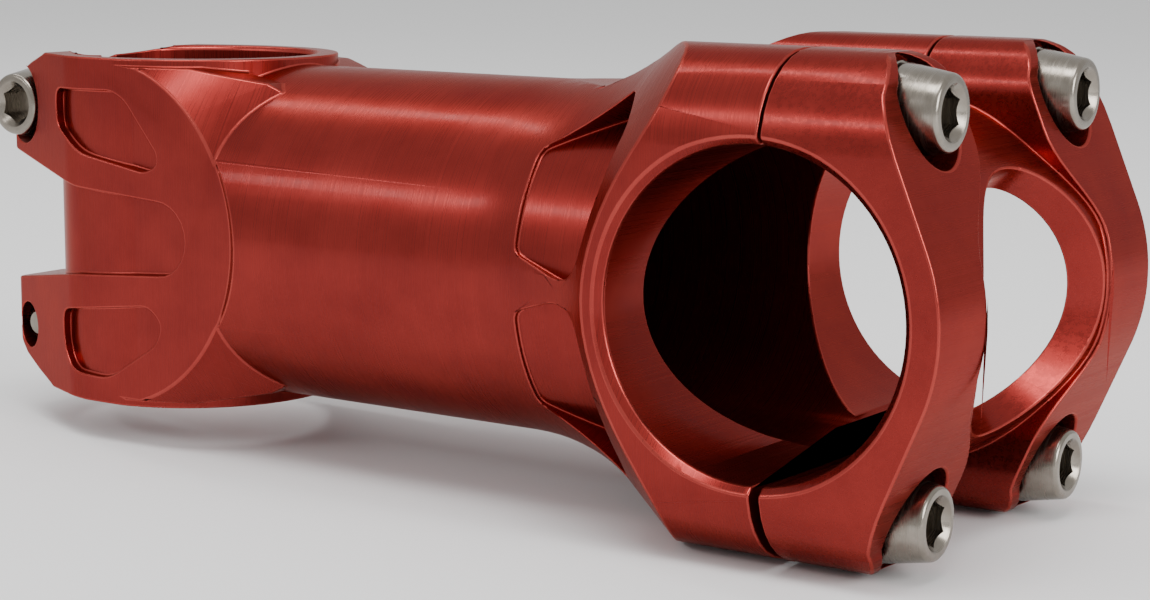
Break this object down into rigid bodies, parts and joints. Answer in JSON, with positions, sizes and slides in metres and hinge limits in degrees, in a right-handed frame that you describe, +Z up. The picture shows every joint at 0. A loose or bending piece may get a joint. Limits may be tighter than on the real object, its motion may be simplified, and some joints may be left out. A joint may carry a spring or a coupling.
{
  "type": "handlebar stem",
  "caption": "Straight threadless bicycle stem: turned barrel, split steerer clamp with opposed pinch bolts, and a bar clamp with a bolted windowed faceplate.",
  "frame": {"origin": "on the steerer tube's axis, at the lower face of the steerer clamp, where it rests on the headset spacer", "axes": "+X forward from the steerer to the handlebar, +Z up along the steerer tube, the handlebar's bore along Y"},
  "size_m": [0.133, 0.05, 0.0488],
  "materials": {
    "anodised_red": "satin red anodised, machined",
    "stainless_steel": "turned stainless steel"
  },
  "bodies": {
    "stem": {"stem_body": "anodised_red"},
    "faceplate": {"faceplate": "anodised_red"},
    "washer_face_upper_left": {"washer_face_upper_left": "stainless_steel"},
    "bolt_face_upper_left": {"bolt_face_upper_left": "stainless_steel"},
    "washer_face_upper_right": {"washer_face_upper_right": "stainless_steel"},
    "bolt_face_upper_right": {"bolt_face_upper_right": "stainless_steel"},
    "washer_face_lower_left": {"washer_face_lower_left": "stainless_steel"},
    "bolt_face_lower_left": {"bolt_face_lower_left": "stainless_steel"},
    "washer_face_lower_right": {"washer_face_lower_right": "stainless_steel"},
    "bolt_face_lower_right": {"bolt_face_lower_right": "stainless_steel"},
    "washer_pinch_upper": {"washer_pinch_upper": "stainless_steel"},
    "bolt_pinch_upper": {"bolt_pinch_upper": "stainless_steel"},
    "washer_pinch_lower": {"washer_pinch_lower": "stainless_steel"},
    "bolt_pinch_lower": {"bolt_pinch_lower": "stainless_steel"}
  },
  "joints": [
    {"name": "faceplate_pull", "type": "slide", "parent": "stem", "child": "faceplate", "axis": [1, 0, 0], "range_m": [0, 0.03]},
    {"name": "face_upper_left_rise", "type": "slide", "parent": "faceplate", "child": "washer_face_upper_left", "axis": [1, 0, 0], "range_m": [0, 0.0072]},
    {"name": "face_upper_left_turn", "type": "hinge", "parent": "washer_face_upper_left", "child": "bolt_face_upper_left", "pos_m": [0.1008, 0.0155, 0.039], "axis": [1, 0, 0], "range_deg": [0, 3258]},
    {"name": "face_upper_right_rise", "type": "slide", "parent": "faceplate", "child": "washer_face_upper_right", "axis": [1, 0, 0], "range_m": [0, 0.0072]},
    {"name": "face_upper_right_turn", "type": "hinge", "parent": "washer_face_upper_right", "child": "bolt_face_upper_right", "pos_m": [0.1008, -0.0155, 0.039], "axis": [1, 0, 0], "range_deg": [0, 3258]},
    {"name": "face_lower_left_rise", "type": "slide", "parent": "faceplate", "child": "washer_face_lower_left", "axis": [1, 0, 0], "range_m": [0, 0.0072]},
    {"name": "face_lower_left_turn", "type": "hinge", "parent": "washer_face_lower_left", "child": "bolt_face_lower_left", "pos_m": [0.1008, 0.0155, 0.001], "axis": [1, 0, 0], "range_deg": [0, 3258]},
    {"name": "face_lower_right_rise", "type": "slide", "parent": "faceplate", "child": "washer_face_lower_right", "axis": [1, 0, 0], "range_m": [0, 0.0072]},
    {"name": "face_lower_right_turn", "type": "hinge", "parent": "washer_face_lower_right", "child": "bolt_face_lower_right", "pos_m": [0.1008, -0.0155, 0.001], "axis": [1, 0, 0], "range_deg": [0, 3258]},
    {"name": "pinch_upper_rise", "type": "slide", "parent": "stem", "child": "washer_pinch_upper", "axis": [0, -1, 0], "range_m": [0, 0.0088]},
    {"name": "pinch_upper_turn", "type": "hinge", "parent": "washer_pinch_upper", "child": "bolt_pinch_upper", "pos_m": [-0.0188, -0.0068, 0.0335], "axis": [0, -1, 0], "range_deg": [0, 3978]},
    {"name": "pinch_lower_rise", "type": "slide", "parent": "stem", "child": "washer_pinch_lower", "axis": [0, 1, 0], "range_m": [0, 0.0088]},
    {"name": "pinch_lower_turn", "type": "hinge", "parent": "washer_pinch_lower", "child": "bolt_pinch_lower", "pos_m": [-0.0188, 0.0068, 0.0065], "axis": [0, 1, 0], "range_deg": [0, 3978]}
  ],
  "couplings": [
    {"joint": "face_upper_left_turn", "follows": "face_upper_left_rise", "rad_per_m": 7854},
    {"joint": "face_upper_right_turn", "follows": "face_upper_right_rise", "rad_per_m": 7854},
    {"joint": "face_lower_left_turn", "follows": "face_lower_left_rise", "rad_per_m": 7854},
    {"joint": "face_lower_right_turn", "follows": "face_lower_right_rise", "rad_per_m": 7854},
    {"joint": "pinch_upper_turn", "follows": "pinch_upper_rise", "rad_per_m": 7854},
    {"joint": "pinch_lower_turn", "follows": "pinch_lower_rise", "rad_per_m": 7854}
  ]
}
